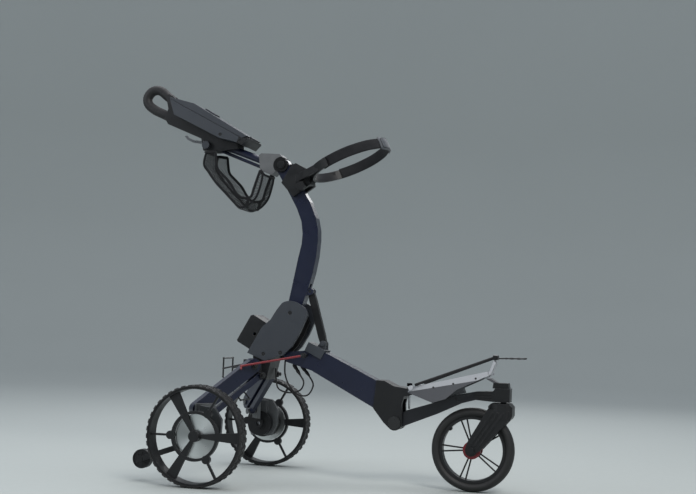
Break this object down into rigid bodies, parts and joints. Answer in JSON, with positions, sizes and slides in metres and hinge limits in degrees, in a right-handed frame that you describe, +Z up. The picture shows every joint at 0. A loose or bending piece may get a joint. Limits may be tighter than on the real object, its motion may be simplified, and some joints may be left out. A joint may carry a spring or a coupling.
{
  "type": "electric golf trolley",
  "caption": "Three-wheeled motorised golf trolley with folding mast, padded bag cradle, console handle, storage net and swivelling front wheel.",
  "frame": {"origin": "on the ground, under the middle of the whole length and width", "axes": "+X forward to the front wheel, -Y the right side, +Z up"},
  "size_m": [1.2523, 0.668, 1.2249],
  "materials": {
    "navy_paint": "gloss",
    "slate_plastic": "satin",
    "black_plastic": "satin",
    "cast_aluminium": "cast",
    "grey_plastic": "satin",
    "black_wire": "gloss",
    "steel": "satin",
    "bright_steel": "polished",
    "red_paint": "satin",
    "brushed_disc": "circular brushed",
    "rubber": "matte",
    "tyre": "matte",
    "webbing": "woven",
    "net_mesh": "open mesh",
    "cells": "wrapped",
    "board": "coated"
  },
  "bodies": {
    "chassis": {"hub_casting": "black_plastic", "right_cover": "slate_plastic", "left_cover": "slate_plastic", "cover_screws": "black_wire", "front_beam": "navy_paint", "elbow_bracket": "black_plastic", "pivot_pins": "black_wire", "battery_case": "black_plastic", "battery_cells": "cells", "control_board": "board", "wire_guard": "black_wire", "motor_cables": "rubber"},
    "latch": {"latch_rod": "bright_steel"},
    "lever": {"release_lever": "red_paint"},
    "collar": {"collar": "slate_plastic"},
    "mast": {"mast_tube": "navy_paint", "upper_cradle": "black_plastic", "cradle_strap": "webbing", "strap_pad": "slate_plastic"},
    "cradle_knob": {"clamp_knob": "black_plastic"},
    "brace": {"brace_strut": "black_plastic"},
    "handle": {"handle_joint": "cast_aluminium", "handle_tube": "navy_paint", "console_body": "slate_plastic", "control_module": "black_plastic", "grip_core": "black_plastic", "grip_cover": "rubber", "storage_net": "net_mesh"},
    "lid": {"console_lid": "slate_plastic"},
    "dial": {"speed_dial": "slate_plastic"},
    "brake": {"brake_lever": "bright_steel"},
    "right_arm": {"right_arm": "navy_paint"},
    "right_link": {"right_link": "navy_paint"},
    "right_carrier": {"right_motor_bracket": "cast_aluminium", "right_motor": "black_plastic", "anti_tip_arm": "black_plastic"},
    "right_wheel": {"right_axle": "steel", "right_rim": "black_plastic", "right_tyre": "tyre", "right_hub_disc": "brushed_disc"},
    "anti_tip_wheel": {"anti_tip_wheel": "black_plastic"},
    "left_arm": {"left_arm": "navy_paint"},
    "left_link": {"left_link": "navy_paint"},
    "left_carrier": {"left_motor_bracket": "cast_aluminium", "left_motor": "black_plastic"},
    "left_wheel": {"left_axle": "steel", "left_rim": "black_plastic", "left_tyre": "tyre", "left_hub_disc": "brushed_disc"},
    "front_frame": {"lower_arm": "navy_paint", "bag_rest": "grey_plastic", "bungee": "rubber", "pull_tab": "rubber", "head_block": "black_plastic", "head_bearing": "steel"},
    "fork": {"fork": "black_plastic", "front_axle": "steel"},
    "front_wheel": {"front_rim": "black_plastic", "front_tyre": "tyre", "front_hub": "red_paint"}
  },
  "joints": [
    {"name": "mast_fold", "type": "hinge", "parent": "chassis", "child": "mast", "pos_m": [-0.103, 0, 0.47], "axis": [0, 1, 0], "range_deg": [0, 68]},
    {"name": "brace_turn", "type": "hinge", "parent": "mast", "child": "brace", "pos_m": [-0.036, 0, 0.572], "axis": [0, 1, 0], "range_deg": [-105.3, 0]},
    {"name": "collar_slide", "type": "slide", "parent": "chassis", "child": "collar", "axis": [0.903, 0, -0.4296], "range_m": [0, 0.1539]},
    {"name": "right_arm_fold", "type": "hinge", "parent": "chassis", "child": "right_arm", "pos_m": [-0.188, -0.084, 0.342], "axis": [0.7608, -0.6489, 0], "range_deg": [0, 32.4]},
    {"name": "right_link_fold", "type": "hinge", "parent": "chassis", "child": "right_link", "pos_m": [-0.16983, -0.0627, 0.314], "axis": [0.7608, -0.6489, 0], "range_deg": [0, 32.4]},
    {"name": "right_carrier_turn", "type": "hinge", "parent": "right_arm", "child": "right_carrier", "pos_m": [-0.304, -0.22, 0.214], "axis": [0.7608, -0.6489, 0], "range_deg": [-32.4, 0]},
    {"name": "right_wheel_spin", "type": "hinge", "parent": "right_carrier", "child": "right_wheel", "pos_m": [-0.268, -0.31, 0.145], "axis": [0, 1, 0], "continuous": true},
    {"name": "left_arm_fold", "type": "hinge", "parent": "chassis", "child": "left_arm", "pos_m": [-0.188, 0.084, 0.342], "axis": [-0.7608, -0.6489, 0], "range_deg": [0, 32.4]},
    {"name": "left_link_fold", "type": "hinge", "parent": "chassis", "child": "left_link", "pos_m": [-0.16983, 0.0627, 0.314], "axis": [-0.7608, -0.6489, 0], "range_deg": [0, 32.4]},
    {"name": "left_carrier_turn", "type": "hinge", "parent": "left_arm", "child": "left_carrier", "pos_m": [-0.304, 0.22, 0.214], "axis": [-0.7608, -0.6489, 0], "range_deg": [-32.4, 0]},
    {"name": "left_wheel_spin", "type": "hinge", "parent": "left_carrier", "child": "left_wheel", "pos_m": [-0.268, 0.31, 0.145], "axis": [0, 1, 0], "continuous": true},
    {"name": "anti_tip_spin", "type": "hinge", "parent": "right_carrier", "child": "anti_tip_wheel", "pos_m": [-0.467, -0.226, 0.062], "axis": [0, 1, 0], "continuous": true},
    {"name": "handle_fold", "type": "hinge", "parent": "mast", "child": "handle", "pos_m": [-0.14, 0, 0.961], "axis": [0, 1, 0], "range_deg": [0, 60]},
    {"name": "lid_open", "type": "hinge", "parent": "handle", "child": "lid", "pos_m": [-0.242, 0, 1.046], "axis": [0, 1, 0], "range_deg": [0, 95]},
    {"name": "dial_turn", "type": "hinge", "parent": "handle", "child": "dial", "pos_m": [-0.388, -0.0344, 1.024], "axis": [0, -1, 0], "range_deg": [-135, 135]},
    {"name": "brake_squeeze", "type": "hinge", "parent": "handle", "child": "brake", "pos_m": [-0.402, 0, 1.038], "axis": [0, 1, 0], "range_deg": [0, 8], "stiffness_Nm_per_rad": 0.4},
    {"name": "cradle_knob_turn", "type": "hinge", "parent": "mast", "child": "cradle_knob", "pos_m": [-0.068, -0.044, 0.893], "axis": [0, -1, 0], "range_deg": [-180, 180]},
    {"name": "latch_lift", "type": "slide", "parent": "chassis", "child": "latch", "axis": [0, 0, 1], "range_m": [0, 0.012], "stiffness_N_per_m": 200},
    {"name": "lever_lift", "type": "hinge", "parent": "chassis", "child": "lever", "pos_m": [-0.033, -0.066, 0.378], "axis": [0, 1, 0], "range_deg": [0, 12], "stiffness_Nm_per_rad": 0.6},
    {"name": "front_fold", "type": "hinge", "parent": "chassis", "child": "front_frame", "pos_m": [0.244, 0, 0.19], "axis": [0, 1, 0], "range_deg": [0, 80]},
    {"name": "caster_swivel", "type": "hinge", "parent": "front_frame", "child": "fork", "pos_m": [0.56, 0, 0.29], "axis": [0, 0, 1], "continuous": true},
    {"name": "front_wheel_spin", "type": "hinge", "parent": "fork", "child": "front_wheel", "pos_m": [0.474, 0, 0.122], "axis": [0, 1, 0], "continuous": true}
  ],
  "couplings": [
    {"joint": "brace_turn", "follows": "mast_fold", "ratio": -1.5471},
    {"joint": "collar_slide", "follows": "mast_fold", "m_per_rad": 0.12951},
    {"joint": "right_arm_fold", "follows": "mast_fold", "ratio": 0.475},
    {"joint": "right_link_fold", "follows": "mast_fold", "ratio": 0.475},
    {"joint": "right_carrier_turn", "follows": "mast_fold", "ratio": -0.475},
    {"joint": "left_arm_fold", "follows": "mast_fold", "ratio": 0.475},
    {"joint": "left_link_fold", "follows": "mast_fold", "ratio": 0.475},
    {"joint": "left_carrier_turn", "follows": "mast_fold", "ratio": -0.475}
  ]
}
